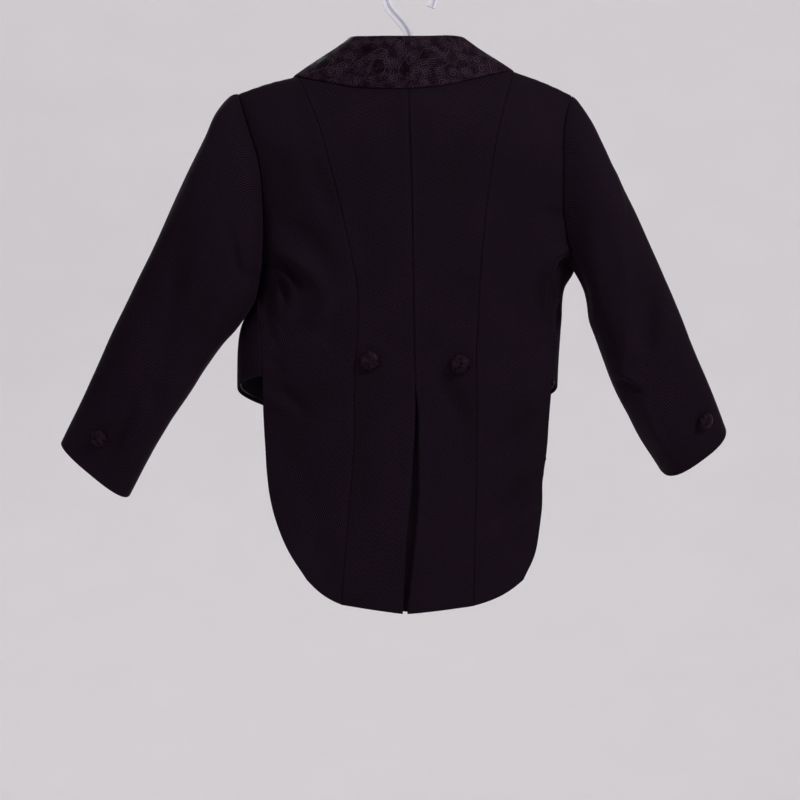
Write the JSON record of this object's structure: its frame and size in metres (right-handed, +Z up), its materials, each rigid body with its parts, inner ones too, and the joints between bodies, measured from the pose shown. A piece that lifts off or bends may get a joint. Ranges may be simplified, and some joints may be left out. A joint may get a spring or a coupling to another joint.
{
  "type": "child's tailcoat on a hanger",
  "caption": "Black evening tailcoat with a patterned satin shawl collar, hollow sleeves and rounded tails parted by a back vent, hanging from a moulded hanger's hook.",
  "frame": {"origin": "where a rail bears inside the top of the hanger's hook", "axes": "+Z up, the coat faces -Y and its back faces +Y, +X towards the wearer's left"},
  "size_m": [0.5848, 0.119, 0.5595],
  "materials": {
    "suiting": "woven suiting, matt",
    "collar_jacquard": "figured satin, low sheen",
    "lining": "plain satin",
    "covered_button": "satin drawn over a dome",
    "hanger_plastic": "moulded, slightly cloudy"
  },
  "bodies": {
    "root": {"back_centre_left": "suiting", "back_centre_right": "suiting", "back_side_left": "suiting", "back_side_right": "suiting", "vent_facing": "suiting", "front_left": "suiting", "front_right": "suiting", "front_lining_left": "lining", "front_lining_right": "lining", "sleeve_left": "suiting", "sleeve_right": "suiting", "shawl_collar_left": "collar_jacquard", "shawl_collar_right": "collar_jacquard", "waist_button_left": "covered_button", "waist_button_right": "covered_button", "cuff_button_left": "covered_button", "cuff_button_right": "covered_button", "hanger": "hanger_plastic"}
  },
  "joints": []
}
